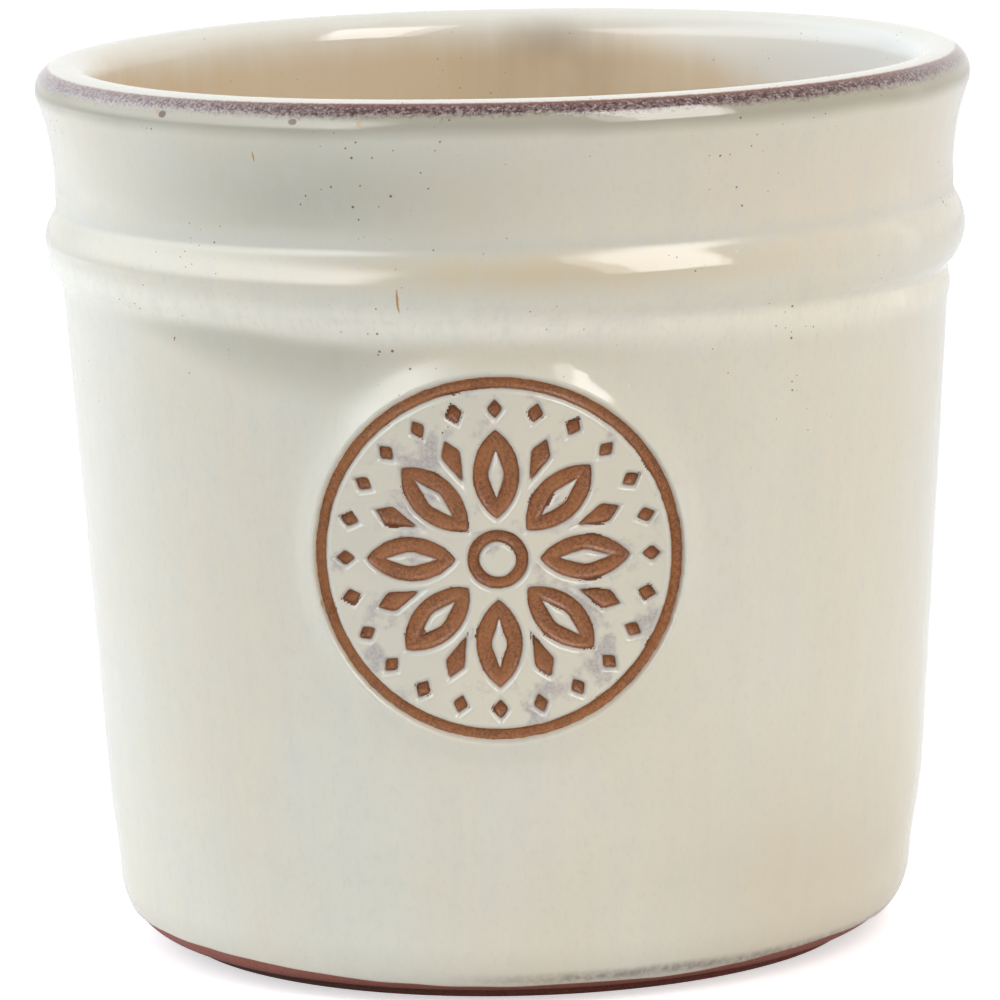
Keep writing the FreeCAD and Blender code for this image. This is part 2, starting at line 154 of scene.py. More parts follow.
def innerLine(skin, stop):
    line = [(innerCentre[0], form["height"] + skin), (innerCentre[0] - 0.0001, form["height"] + skin)]
    lip = arc(innerCentre, form["lipInner"] + skin, math.pi / 2 + 0.03, innerAngle)
    corner = arc(cornerCentre, form["floorRound"] - skin, innerAngle - math.pi, -math.pi / 2)
    floor = straight(corner[-1], (stop, form["floorTop"] + skin), 0.006)
    return line + lip + straight(lip[-1], corner[0], 0.004)[1:] + corner[1:] + floor[1:]


def thin(line):
    kept = [line[0]]
    for point in line[1:]:
        if math.dist(point, kept[-1]) > 0.00004:
            kept.append(point)
    return kept


# Hand-thrown unevenness, one rule for every piece so that the coats stay on the clay
throwing = {
    "low": 0.0005, "ridge": 0.00020, "rise": 0.0006,  # long waves, finger ridges, uneven height
    "lean": 0.0009, "footShift": 0.0006, "footShiftHigh": 0.02,
    "swell": 0.0024, "swellWide": 0.0095, "dish": 0.25,  # the wall pushed out round the seal
    "hollow": 0.0004, "hollowAt": 0.014, "hollowHalf": 0.012,
    "tuck": 0.0019, "tuckAt": 0.020, "tuckHalf": 0.035, "tuckSide": 0.35,  # lower wall drawn in
    "valley": 0.0007, "valleyAt": 0.2200, "valleyTilt": 0.0052, "valleyHalf": 0.0034,
    "roll": 0.0007, "rollBelow": 0.0066, "rollHalf": 0.0046,
    "still": 0.02,  # the floor's middle stays as it is
}
outsideRoom = {"least": 0.1096, "wall": 0.003, "heel": 0.03, "heelHigh": 0.055}
sealRound = wallRadius(sealMiddle)


def smooth(part):
    part = min(1.0, max(0.0, part))
    return part * part * (3 - 2 * part)


def bumpAt(value, middle, half):
    return smooth(1 - abs(value - middle) / half)


def noiseOf(x, y, z):
    return noise.noise(Vector((x, y, z)))


def sealFar(co):
    return math.hypot(co.x, co.z - sealMiddle)


def wrapped(x):
    # the die's width lies along the round wall
    return sealRound * math.sin(x / sealRound)


def unwrapped(x):
    return sealRound * math.asin(max(-1.0, min(1.0, x / sealRound)))


def sealSwell(x, y, z):
    if y > 0:
        return 0.0
    far = math.hypot(unwrapped(x), z - sealMiddle)
    if far < sealRadius:
        return throwing["swell"] * (1 - throwing["dish"] + throwing["dish"] * (far / sealRadius) ** 4)
    raised = throwing["swell"] * (1 - smooth((far - sealRadius) / throwing["swellWide"]))
    sunk = bumpAt(far - sealRadius, throwing["hollowAt"], throwing["hollowHalf"])
    return raised - throwing["hollow"] * sunk


def beadRoll(side, z):
    # a finger's groove under the bead and a soft roll below it, both a little aslant
    groove = throwing["valleyAt"] - throwing["valleyTilt"] * side
    roll = throwing["roll"] * bumpAt(z, groove - throwing["rollBelow"], throwing["rollHalf"])
    return roll - throwing["valley"] * bumpAt(z, groove, throwing["valleyHalf"])


def onOutside(radius, z):
    heelRoom = outsideRoom["heel"] * max(0.0, 1 - z / outsideRoom["heelHigh"]) ** 2
    return radius > max(outsideRoom["least"], wallRadius(z) - outsideRoom["wall"] - heelRoom)


def thrown(co, outside):
    radius = math.hypot(co.x, co.y)
    if radius < throwing["still"]:
        return co.copy()
    out = Vector((co.x / radius, co.y / radius, 0))
    push = throwing["low"] * noiseOf(co.x * 9, co.y * 9, co.z * 7 + 4)
    push += throwing["ridge"] * noiseOf(co.x * 6, co.y * 6, co.z * 120)
    if outside:
        push += sealSwell(co.x, co.y, co.z)
    if onOutside(radius, co.z):
        push += beadRoll(out.x, co.z)
        tuck = throwing["tuck"] * bumpAt(co.z, throwing["tuckAt"], throwing["tuckHalf"])
        push -= tuck * (1 + throwing["tuckSide"] * out.x)
    shift = throwing["lean"] * (1 - min(1.0, co.z / form["height"]))
    shift += throwing["footShift"] * (1 - smooth(co.z / throwing["footShiftHigh"]))
    rise = throwing["rise"] * noiseOf(co.x * 8, co.y * 8, 1.5) * co.z / form["height"]
    return Vector((co.x - shift, co.y, co.z + rise)) + out * push


def startClean():
    if bpy.context.object and bpy.context.object.mode != "OBJECT":
        bpy.ops.object.mode_set(mode="OBJECT")
    bpy.ops.object.select_all(action="DESELECT")


def spinPiece(name, line, steps):
    startClean()
    line = thin(line)
    bpy.ops.mesh.primitive_plane_add(size=0.002, location=(line[0][0], 0, line[0][1]))
    piece = bpy.context.active_object
    piece.name = name
    bpy.ops.object.transform_apply(location=True, rotation=True, scale=True)
    bpy.ops.object.mode_set(mode="EDIT")
    bpy.ops.mesh.merge(type="CENTER")
    for here, there in zip(line, line[1:]):
        step = (there[0] - here[0], 0, there[1] - here[1])
        bpy.ops.mesh.extrude_region_move(TRANSFORM_OT_translate={"value": step})
    bpy.ops.mesh.select_all(action="SELECT")
    bpy.ops.mesh.spin(steps=steps, angle=2 * math.pi, center=(0, 0, 0), axis=(0, 0, 1))
    bpy.ops.mesh.select_all(action="SELECT")
    bpy.ops.mesh.remove_doubles(threshold=0.000005)
    bpy.ops.mesh.normals_make_consistent(inside=False)
    bpy.ops.object.mode_set(mode="OBJECT")
    return piece


def faceOut(piece, place, way):
    nearest = min(piece.data.polygons, key=lambda face: (face.center - Vector(place)).length)
    if nearest.normal.dot(Vector(way)) < 0:
        bpy.ops.object.mode_set(mode="EDIT")
        bpy.ops.mesh.select_all(action="SELECT")
        bpy.ops.mesh.flip_normals()
        bpy.ops.object.mode_set(mode="OBJECT")


def pickVertices(piece, test):
    bpy.ops.object.mode_set(mode="OBJECT")
    mesh = piece.data
    for face in mesh.polygons:
        face.select = False
    for edge in mesh.edges:
        edge.select = False
    for vertex in mesh.vertices:
        vertex.select = test(vertex.co)
    bpy.ops.object.mode_set(mode="EDIT")
    bpy.ops.mesh.select_mode(type="VERT")


def finishPiece(piece, nodes, outside):
    bpy.ops.object.mode_set(mode="OBJECT")
    for vertex in piece.data.vertices:
        vertex.co = thrown(vertex.co, outside)
    bpy.ops.object.shade_smooth()
    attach(piece, "root")
    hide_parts(*nodes)
    print(piece.name, len(piece.data.polygons), "faces")


# Outer coat: spun from the crest to the glaze line, then opened round the seal
backWall = (0, 0.14, 0.12)
coatCut = {
    "steps": 320,
    "rollEnd": [(0.0007, 0.018), (0.00045, 0.030), (0.0001, 0.036), (-0.0004, 0.036)],  # lift, turn
    "window": 0.0655, "windowTurn": 0.497, "windowRoom": 0.002,  # patch that is taken out
    "rimLow": 0.05, "rimHigh": 0.25,
    "ringAt": 0.0605, "rowCuts": 5, "ringVertices": 3,
    "lipAt": 0.0589, "lipSteps": (0.0005, 0.0004, 0.0004, 0.0003, 0.0003, 0.0003, 0.0002),
    "reshaped": 0.095, "wrapFade": 0.030, "lifted": 1.002,
    "raggedWithin": 0.0600, "raggedMore": 1.3,
    "lineRise": 0.12, "lineLeft": 0.33, "lineRight": 0.20, "lineWave": 0.03,  # uneven glaze line
}
coatLine = outerLine(glaze, glazeTurn)
for lift, turn in coatCut["rollEnd"]:
    coatLine += [(
        heelCentre[0] + (form["heel"] + lift) * math.cos(glazeTurn - turn),
        heelCentre[1] + (form["heel"] + lift) * math.sin(glazeTurn - turn),
    )]
outerGlaze = spinPiece("outerGlaze", coatLine, coatCut["steps"])
faceOut(outerGlaze, backWall, (0, 1, 0))


def inWindow(co):
    turn = math.atan2(co.x, -co.y)
    return co.y < 0 and abs(co.z - sealMiddle) < coatCut["window"] and abs(turn) < coatCut["windowTurn"]


pickVertices(outerGlaze, inWindow)
bpy.ops.mesh.delete(type="VERT")
bpy.ops.object.mode_set(mode="OBJECT")
edgeUse = {}
for face in outerGlaze.data.polygons:
    for key in face.edge_keys:
        edgeUse[key] = edgeUse.get(key, 0) + 1
rim = set()
for key, uses in edgeUse.items():
    spot = outerGlaze.data.vertices[key[0]].co
    if uses == 1 and coatCut["rimLow"] < spot.z < coatCut["rimHigh"]:
        rim.update(key)
rimPlaces = [outerGlaze.data.vertices[i].co.copy() for i in rim]
print("window rim", len(rim))
faceY = -sealRound


def addRing(radius, count):
    bpy.ops.mesh.primitive_circle_add(
        vertices=count, radius=radius, location=(0, faceY, sealMiddle), rotation=(math.pi / 2, 0, 0)
    )


def onRing(radius):
    def test(co):
        return co.y < 0 and abs(sealFar(co) - radius) < 0.0001 and abs(co.y - faceY) < 0.00001
    return test


def onRim(co):
    if co.y >= 0 or not coatCut["rimLow"] < co.z < coatCut["rimHigh"]:
        return False
    return any((co - place).length < 0.000001 for place in rimPlaces)


bpy.ops.object.mode_set(mode="EDIT")
bpy.ops.mesh.select_all(action="DESELECT")
addRing(coatCut["ringAt"], len(rim))
ringTest = onRing(coatCut["ringAt"])
pickVertices(outerGlaze, lambda co: ringTest(co) or onRim(co))
bpy.ops.mesh.bridge_edge_loops(number_cuts=coatCut["rowCuts"], interpolation="LINEAR")
bpy.ops.mesh.select_all(action="DESELECT")
lipAt = coatCut["lipAt"]
addRing(lipAt, len(rim) * coatCut["ringVertices"])
lipTest = onRing(lipAt)
pickVertices(outerGlaze, lambda co: ringTest(co) or lipTest(co))
bpy.ops.mesh.bridge_edge_loops(number_cuts=0)
for inward in coatCut["lipSteps"]:
    pickVertices(outerGlaze, onRing(lipAt))
    bpy.ops.mesh.extrude_edges_move()
    lipAt -= inward
    shrink = lipAt / (lipAt + inward)
    bpy.ops.transform.resize(
        value=(shrink, 1, shrink), center_override=(0, faceY, sealMiddle), orient_type="GLOBAL"
    )
bpy.ops.mesh.select_all(action="SELECT")
bpy.ops.mesh.normals_make_consistent(inside=False)
bpy.ops.object.mode_set(mode="OBJECT")
faceOut(outerGlaze, backWall, (0, 1, 0))

# Edges of the glaze along bare clay, for the outer coat and the seal
glazeEdge = {
    "starts": 0.0020, "ends": -0.0005, "wide": 0.0025, "deep": 0.0026, "bend": 2.6,
    "puff": 0.00020, "puffLong": 1.6, "fine": 0.00010, "coarse": 0.00011,
}


def ragged(x, z):
    near = noiseOf(x * 700, 3.0, z * 700)
    far = noiseOf(x * 260, 7.0, z * 260)
    return glazeEdge["fine"] * near + glazeEdge["coarse"] * far


def glazeDrop(gap):
    # how far the glaze has sunk below its skin, gap metres from a bare line
    if gap > glazeEdge["starts"]:
        return 0.0
    if gap < glazeEdge["ends"]:
        return glazeEdge["deep"]
    part = (glazeEdge["starts"] - gap) / glazeEdge["wide"]
    puff = math.sin(math.pi * min(1.0, part * glazeEdge["puffLong"])) ** 2
    return glazeEdge["deep"] * part ** glazeEdge["bend"] - glazeEdge["puff"] * puff


def sinkAtSeal(co):
    far = sealFar(co)
    high = abs(co.z - sealMiddle)
    if co.y >= 0 or far >= coatCut["reshaped"] or high >= coatCut["window"] + coatCut["windowRoom"]:
        return
    gap = far - sealRadius
    gap += ragged(co.x, co.z) * (coatCut["raggedMore"] if far < coatCut["raggedWithin"] else 0)
    sunk = glazeDrop(gap) if far < coatCut["ringAt"] else 0
    radius = wallRadius(co.z) + glaze * coatCut["lifted"] - sunk
    co.x += (wrapped(co.x) - co.x) * (1 - smooth((far - coatCut["ringAt"]) / coatCut["wrapFade"]))
    co.y = -math.sqrt(radius ** 2 - co.x ** 2)


def raiseGlazeLine(co):
    flat = (math.hypot(co.x, co.y), co.z)
    turn = bearing(heelCentre, flat)
    if co.z >= heelCentre[1] or turn >= wallAngle:
        return
    side = math.atan2(co.y, co.x)
    uneven = -coatCut["lineRise"] - coatCut["lineLeft"] * smooth(-math.cos(side) / 0.93)
    uneven -= coatCut["lineRight"] * smooth((math.cos(side) - 0.35) / 0.5)
    for scale in (2.2, 9):
        uneven += coatCut["lineWave"] * noiseOf(math.cos(side) * scale, math.sin(side) * scale, 0.4)
    away = math.dist(heelCentre, flat)
    turn = wallAngle + (turn - wallAngle) * (1 + uneven / (wallAngle - glazeTurn))
    spread = (heelCentre[0] + away * math.cos(turn)) / flat[0]
    co.z = heelCentre[1] + away * math.sin(turn)
    co.x *= spread
    co.y *= spread


for vertex in outerGlaze.data.vertices:
    sinkAtSeal(vertex.co)
    raiseGlazeLine(vertex.co)
finishPiece(outerGlaze, ["outer_glaze"], True)

# Liner coat, stopped short of the drain hole
linerCut = {"steps": 256, "stop": [(0.0148, 0.0005), (0.0147, -0.0002)]}
linerLine = innerLine(glaze, form["linerStop"])
linerLine += [(reach, form["floorTop"] + up) for reach, up in linerCut["stop"]]
innerGlaze = spinPiece("innerGlaze", linerLine, linerCut["steps"])
faceOut(innerGlaze, (0, 0.12, 0.12), (0, -1, 0))
finishPiece(innerGlaze, ["inner_glaze"], False)

# Clay body: the whole section spun once, with a softened foot ring and drain hole
clayCut = {
    "steps": 240,
    "footSoft": [(0, 0.0008), (0.0003, 0.0002), (0.0009, 0)],  # worn edges: inward, upward
    "recessSoft": [(0, 0.001), (0.0003, 0.0003), (0.001, 0)],
    "drainSoft": [(0.0012, 0), (0.0004, 0.0003), (0, 0.0012)],
    "recessFrom": 0.004, "recessStep": 0.008,
    "sealReach": 0.063, "sealSkin": 0.002, "sealPress": 0.0020,  # clay kept clear under the seal
}
footOut = heelCentre[0] - form["footIn"]
footIn = footOut - form["footWide"]
recess, drain = form["recess"], form["drain"]
clayFoot = [(footOut, form["footHigh"])]
clayFoot += [(footOut - inward, up) for inward, up in clayCut["footSoft"]]
clayFoot += [(footIn + inward, up) for inward, up in reversed(clayCut["footSoft"])]
clayFoot += [(footIn - inward, recess - up) for inward, up in clayCut["recessSoft"]]
drainStart = (drain + clayCut["drainSoft"][0][0], recess)
clayFoot += straight((footIn - clayCut["recessFrom"], recess), drainStart, clayCut["recessStep"])
clayFoot += [(drain + out, recess + up) for out, up in clayCut["drainSoft"][1:]]
clayFoot += [(drain + out, form["floorTop"] - up) for out, up in reversed(clayCut["drainSoft"])]
clayLine = outerLine(0, -math.pi / 2) + clayFoot + innerLine(0, form["linerStop"])[::-1]
clayPot = spinPiece("clayPot", clayLine, clayCut["steps"])
faceOut(clayPot, backWall, (0, 1, 0))
for vertex in clayPot.data.vertices:
    co = vertex.co
    reach = math.hypot(co.x, co.y)
    nearSeal = co.y < 0 and sealFar(co) < clayCut["sealReach"]
    if nearSeal and reach > wallRadius(co.z) - clayCut["sealSkin"]:
        scale = 1 - clayCut["sealPress"] / reach
        co.x *= scale
        co.y *= scale
finishPiece(clayPot, ["clay_body"], False)

# Seal: field glaze standing between stamped lines, and the brown wash that lies in them
motif = {
    "ring": (0.0533, 0.0572), "hub": (0.0055, 0.0092),
    "lozenge": (24, 0.0438, 0.0470, 0.0502, 0.0025),  # count, inner end, widest, outer end, half width
    "bud": (8, 0.0255, 0.0355, 0.0405, 0.0032),
    "petal": (8, 0.0125, 0.0405, 0.0070),  # count, inner end, outer end, half width
    "vein": (0.0182, 0.0265, 0.0348, 0.0025),  # one in each petal
    "blunt": 0.0010, "soft": 0.0003,
}
fieldCut = {"half": 0.0560, "count": 272, "edge": 0.0555, "under": -0.0010, "pillow": 0.00028}
stainCut = {
    "half": 0.0592, "count": 240, "edge": 0.0590, "over": 0.0016, "grain": 0.00007,
    "starts": 0.0006, "wide": 0.0023, "least": 0.0006, "deep": 0.0021,
}


def band(far, limits):
    return abs(far - sum(limits) / 2) - (limits[1] - limits[0]) / 2


def kite(along, across, inner, wide, outer, half):
    low = (across * (wide - inner) - (along - inner) * half) / math.hypot(wide - inner, half)
    high = (across * (outer - wide) - (outer - along) * half) / math.hypot(outer - wide, half)
    blunt = max(0.0, 1 - abs(low - high) / motif["blunt"])
    return max(low, high) + blunt * blunt * motif["blunt"] / 4


def folded(far, angle, count, shift=0.0):
    part = 2 * math.pi / count
    turn = (angle + shift + part / 2) % part - part / 2
    return far * math.cos(turn), math.hypot(far * math.sin(turn), motif["soft"])


def lineGap(x, z):
    # metres from the nearest stamped line, less than nothing inside it
    far = math.hypot(x, z - sealMiddle)
    angle = math.atan2(x, z - sealMiddle)
    count, inner, outer, half = motif["petal"]
    along, across = folded(far, angle, count)
    curve = ((outer - inner) ** 2 / 4 + half ** 2) / (2 * half)
    petal = math.hypot(along - (inner + outer) / 2, across + curve - half) - curve
    petal = max(petal, -kite(along, across, *motif["vein"]))
    buds = motif["bud"][0]
    bud = kite(*folded(far, angle, buds, math.pi / buds), *motif["bud"][1:])
    lozenge = kite(*folded(far, angle, motif["lozenge"][0]), *motif["lozenge"][1:])
    gap = min(band(far, motif["ring"]), band(far, motif["hub"]), petal, bud, lozenge)
    return gap + ragged(x, z)


def sealGrid(name, cut, keep):
    startClean()
    bpy.ops.mesh.primitive_grid_add(
        x_subdivisions=cut["count"], y_subdivisions=cut["count"], size=cut["half"] * 2,
        location=(0, faceY, sealMiddle), rotation=(math.pi / 2, 0, 0),
    )
    piece = bpy.context.active_object
    piece.name = name
    bpy.ops.object.transform_apply(location=True, rotation=True, scale=True)
    pickVertices(piece, lambda co: not (sealFar(co) < cut["edge"] and keep(lineGap(co.x, co.z))))
    bpy.ops.mesh.delete(type="VERT")
    bpy.ops.object.mode_set(mode="OBJECT")
    gaps = piece.data.attributes.new("lineGap", "FLOAT", "POINT")
    for vertex in piece.data.vertices:
        gaps.data[vertex.index].value = lineGap(vertex.co.x, vertex.co.z) * 1000
    return piece


def stainDrop(gap):
    # the stamped line is round in section, and flat where it is wide
    part = min(1.0, max(0.0, (stainCut["starts"] - gap) / stainCut["wide"]))
    return stainCut["least"] + stainCut["deep"] * (1 - (1 - part) ** 2)


def setRadius(vertex, drop):
    vertex.co.x = wrapped(vertex.co.x)
    radius = wallRadius(vertex.co.z) + glaze - drop
    vertex.co.y = -math.sqrt(radius ** 2 - vertex.co.x ** 2)


sealGlaze = sealGrid("sealGlaze", fieldCut, lambda gap: gap > fieldCut["under"])
for vertex in sealGlaze.data.vertices:
    x, z = vertex.co.x, vertex.co.z
    pillow = fieldCut["pillow"] * noiseOf(x * 120, 5.0, z * 120)
    setRadius(vertex, glazeDrop(lineGap(x, z)) - pillow)
finishPiece(sealGlaze, ["seal_field_glaze"], True)

sealStain = sealGrid("sealStain", stainCut, lambda gap: gap < stainCut["over"])
for vertex in sealStain.data.vertices:
    x, z = vertex.co.x, vertex.co.z
    grain = stainCut["grain"] * noiseOf(x * 1500, 2.0, z * 1500)
    setRadius(vertex, stainDrop(lineGap(x, z)) + grain)
finishPiece(sealStain, ["seal_stain"], True)


# Short words for the nodes of the materials
def rgb(red, green, blue):
    linear = []
    for part in (red / 255, green / 255, blue / 255):
        linear.append(part / 12.92 if part <= 0.04045 else ((part + 0.055) / 1.055) ** 2.4)
    return (*linear, 1)


def addNode(tree, kind, values=None, **settings):
    made = tree.nodes.new(kind)
    for key, value in settings.items():
        setattr(made, key, value)
    for key, value in (values or {}).items():
        if hasattr(value, "is_linked"):
            tree.links.new(value, made.inputs[key])
        else:
            made.inputs[key].default_value = value
    return made


def maths(tree, kind, first, second=None):
    values = {0: first}
    if second is not None:
        values[1] = second
    return addNode(tree, "ShaderNodeMath", values, operation=kind).outputs[0]


def product(tree, *values):
    made = values[0]
    for value in values[1:]:
        made = maths(tree, "MULTIPLY", made, value)
    return made


def centred(tree, value, size):
    return maths(tree, "MULTIPLY", maths(tree, "SUBTRACT", value, 0.5), size)


def lengthOf(tree, first, second):
    joined = addNode(tree, "ShaderNodeCombineXYZ", {0: first, 1: second}).outputs[0]
    return addNode(tree, "ShaderNodeVectorMath", {0: joined}, operation="LENGTH").outputs["Value"]


def ramp(tree, value, low, high, start=0.0, end=1.0):
    values = {0: value, 1: low, 2: high, 3: start, 4: end}
    return addNode(tree, "ShaderNodeMapRange", values, interpolation_type="SMOOTHSTEP").outputs[0]


def hump(tree, value, middle, half):
    away = maths(tree, "ABSOLUTE", maths(tree, "SUBTRACT", value, middle))
    return ramp(tree, away, half, 0.0)


def mix(tree, factor, first, second):
    return addNode(tree, "ShaderNodeMix", {0: factor, 6: first, 7: second}, data_type="RGBA").outputs[2]


def tinted(tree, colour, tint, *masks):
    return mix(tree, product(tree, *masks), colour, tint)


def placeParts(tree, place):
    split = addNode(tree, "ShaderNodeSeparateXYZ", {0: place})
    return split.outputs["X"], split.outputs["Y"], split.outputs["Z"]


def noiseAt(tree, place, scale, stretch=(1, 1, 1), detail=2.0, rough=0.5, shift=0.0):
    values = {"Vector": place, "Scale": stretch, "Location": (shift, 0, 0)}
    spread = addNode(tree, "ShaderNodeMapping", values).outputs[0]
    values = {"Vector": spread, "Scale": scale, "Detail": detail, "Roughness": rough}
    return addNode(tree, "ShaderNodeTexNoise", values).outputs["Fac"]


def cellsAt(tree, place, scale):
    cells = addNode(tree, "ShaderNodeTexVoronoi", {"Vector": place, "Scale": scale})
    drawn = addNode(tree, "ShaderNodeSeparateColor", {0: cells.outputs["Color"]})
    return cells.outputs["Distance"], drawn.outputs[0], drawn.outputs[1]


def newGroup(name, *outputs):
    tree = bpy.data.node_groups.new(name, "ShaderNodeTree")
    tree.interface.new_socket("Place", in_out="INPUT", socket_type="NodeSocketVector")
    for title in outputs:
        tree.interface.new_socket(title, in_out="OUTPUT", socket_type="NodeSocketFloat")
    inside = tree.nodes.new("NodeGroupInput")
    outside = tree.nodes.new("NodeGroupOutput")
    return tree, inside.outputs["Place"], outside


def useGroup(tree, group, place):
    made = tree.nodes.new("ShaderNodeGroup")
    made.node_tree = group
    tree.links.new(place, made.inputs["Place"])
    return made.outputs


def newMaterial(name):
    material = bpy.data.materials.new(name)
    material.use_nodes = True
    tree = material.node_tree
    shader = tree.nodes["Principled BSDF"]
    place = addNode(tree, "ShaderNodeTexCoord").outputs["Object"]
    return material, tree, shader, place


def makeSpecks():
    # specks and pinholes in the glaze: small round dots, gathered in clusters, and a few dashes
    sizes = ((620.0, 0.84, 0.34), (430.0, 0.86, 0.28), (260.0, 0.92, 0.15))  # scale, pick, width
    tree, place, out = newGroup("glazeSpecks", "Specks", "Ochre")
    higher = ramp(tree, placeParts(tree, place)[2], 0.15, 0.205, 0.35, 1.0)
    gather = product(tree, ramp(tree, noiseAt(tree, place, 24.0, detail=3.0), 0.42, 0.62), higher)
    dots = []
    for scale, pick, width in sizes:
        distance, first, second = cellsAt(tree, place, scale)
        chosen = maths(tree, "GREATER_THAN", first, pick)
        away = maths(tree, "SUBTRACT", product(tree, gather, second, width), distance)
        dots.append(product(tree, ramp(tree, away, 0.0, width * 0.3), chosen))
    allDots = maths(tree, "MAXIMUM", maths(tree, "MAXIMUM", dots[0], dots[1]), dots[2])
    tree.links.new(allDots, out.inputs["Specks"])
    longer = addNode(tree, "ShaderNodeMapping", {"Vector": place, "Scale": (1.0, 1.0, 0.30)})
    distance, second = cellsAt(tree, longer.outputs[0], 95.0)[::2]
    few = maths(tree, "GREATER_THAN", second, 0.92)
    tree.links.new(product(tree, ramp(tree, distance, 0.085, 0.035), few), out.inputs["Ochre"])
    return tree


def makeTones():
    # soft clouds, runs down the wall, and a skin with waves, pits and grains
    tree, place, out = newGroup("glazeTone", "Cloud", "Run", "Height")
    cloud = noiseAt(tree, place, 16.0, (1, 1, 0.6), 4.0, 0.55)
    run = noiseAt(tree, place, 150.0, (1, 1, 0.06), 3.0, 0.6, 3.0)
    wave = noiseAt(tree, place, 60.0, (1, 1, 0.5), 2.0, 0.4, 8.0)
    orange = noiseAt(tree, place, 420.0, (1, 1, 1), 1.0, 0.4, 1.0)
    distance, first, second = cellsAt(tree, place, 340.0)
    pit = product(
        tree, ramp(tree, distance, 0.17, 0.05), ramp(tree, cloud, 0.40, 0.58),
        maths(tree, "GREATER_THAN", first, 0.80), maths(tree, "SUBTRACT", second, 0.65),
    )
    skin = maths(tree, "ADD", wave, maths(tree, "MULTIPLY", orange, 0.05))
    tree.links.new(ramp(tree, cloud, 0.32, 0.68), out.inputs["Cloud"])
    tree.links.new(run, out.inputs["Run"])
    tree.links.new(maths(tree, "ADD", skin, pit), out.inputs["Height"])
    return tree


def makeGrains():
    # clay grain for the foot and the stamped lines
    tree, place, out = newGroup("clayGrain", "Grain", "Patch")
    tree.links.new(noiseAt(tree, place, 1100.0, detail=4.0, rough=0.7), out.inputs["Grain"])
    tree.links.new(noiseAt(tree, place, 120.0, detail=3.0, shift=5.0), out.inputs["Patch"])
    return tree


specks = makeSpecks()
tones = makeTones()
grains = makeGrains()
print("node groups made")

# Colours of the coats, and the gloss that they share
glazeLook = {
    "cream": rgb(219, 215, 200), "warm": rgb(221, 212, 192), "cool": rgb(204, 205, 197),
    "bead": rgb(208, 188, 152), "milkAndSheen": rgb(242, 236, 220), "toast": rgb(205, 192, 167),
    "olive": rgb(166, 159, 140), "neckShade": rgb(180, 178, 160), "neckBlush": rgb(222, 206, 185),
    "rollShade": rgb(178, 173, 153), "lipBand": rgb(74, 36, 30), "lipGrain": rgb(118, 89, 86),
    "lipFrost": rgb(182, 170, 169), "lipRust": rgb(132, 78, 60), "crest": rgb(226, 222, 210),
    "smoke": rgb(134, 122, 116), "speck": rgb(112, 72, 44), "ochre": rgb(188, 140, 84),
    "inside": rgb(217, 197, 167), "insideShade": rgb(198, 177, 145), "insideTop": rgb(232, 229, 218),
    "insideSheen": rgb(238, 240, 236), "burnt": rgb(138, 122, 102), "field": rgb(212, 206, 189),
    "edge": rgb(214, 214, 207), "mauve": rgb(156, 144, 150), "edgeBrown": rgb(128, 80, 48),
}
gloss = {"rough": 0.08, "dull": 0.265, "ior": 1.5, "skin": 0.25, "skinDeep": 0.0006}


def glazed(tree, colour, tint, *masks):
    return tinted(tree, colour, glazeLook[tint], *masks)


def relief(tree, shader, height, strength, distance):
    values = {"Height": height, "Strength": strength, "Distance": distance}
    tree.links.new(addNode(tree, "ShaderNodeBump", values).outputs[0], shader.inputs["Normal"])


def paintSpecks(tree, place, colour, amount=0.85):
    spots = useGroup(tree, specks, place)
    colour = glazed(tree, colour, "ochre", spots["Ochre"], amount)
    return glazed(tree, colour, "speck", spots["Specks"], amount)


def dullWhere(tree, mask, full):
    return ramp(tree, mask, 0.0, full, gloss["rough"], gloss["dull"])


def fireCoat(tree, shader, colour, height, rough=None):
    tree.links.new(colour, shader.inputs["Base Color"])
    shader.inputs["Roughness"].default_value = gloss["rough"]
    shader.inputs["IOR"].default_value = gloss["ior"]
    if rough is not None:
        tree.links.new(rough, shader.inputs["Roughness"])
    relief(tree, shader, height, gloss["skin"], gloss["skinDeep"])


# Outer glaze: zones are given as middle and half width, or as the two ends of a fade
wallLook = {
    "neck": (0.2550, 0.028), "neckLeft": (-0.055, 0.085), "neckRight": (0.02, 0.09),
    "neckFront": (0.0, 0.060), "bead": (0.2328, 0.0105), "beadSide": (0.015, 0.115),
    "milkAndSheen": (0.2158, 0.010), "milkAndSheenTilt": 0.030, "milkAndSheenSide": (-0.02, 0.09, 0.90, 0.60),
    "toast": (0.2070, 0.007), "toastSide": (-0.01, 0.07), "pool": (0.2405, 0.005),
    "low": (0.095, 0.030), "lowSide": (0.03, 0.09),
}
# painted shade under the roll: where it starts, how it tilts, widens and fades
rollShadeLook = {
    "top": 0.2142, "tilt": (-0.09, -0.02, 0.0, 0.005), "deep": (-0.122, -0.068, 0.006, 0.024),
    "left": (-0.130, -0.085), "right": (-0.012, -0.052), "front": (0.0, -0.03, 0.0, 0.6),
    "starts": (-0.0016, 0.0036), "fades": (1.0, 0.25),
}
lipLook = {
    "slide": (0.0, -0.10, 0.0009, 0.0018), "olive": (0.0062, 0.0084), "oliveEnd": (0.0165, 0.0105),
    "band": (0.0091, 0.0064), "rust": (0.0046, 0.0036, 0.0, 0.7), "crest": (0.0032, 0.0020),
    "grain": (0.44, 0.58), "frost": (0.48, 0.68, 0.0, 0.75), "paleGrain": (0.38, 0.62, 0.35, 1.0),
    "sheenLeft": (-0.035, -0.130, 0.0, 0.95), "sheenRight": (0.11, 0.148, 0.0, 0.4),
}
smokeLook = {"line": (0.0086, 0.0034), "grain": (0.25, 0.70, 0.45, 1.0), "side": (-0.03, 0.03)}
dullLook = {
    "neck": (0.2418, 0.0070), "front": (0.0, -0.02),
    "flank": (0.0625, 0.0150), "flankSide": (0.018, -0.014),
}
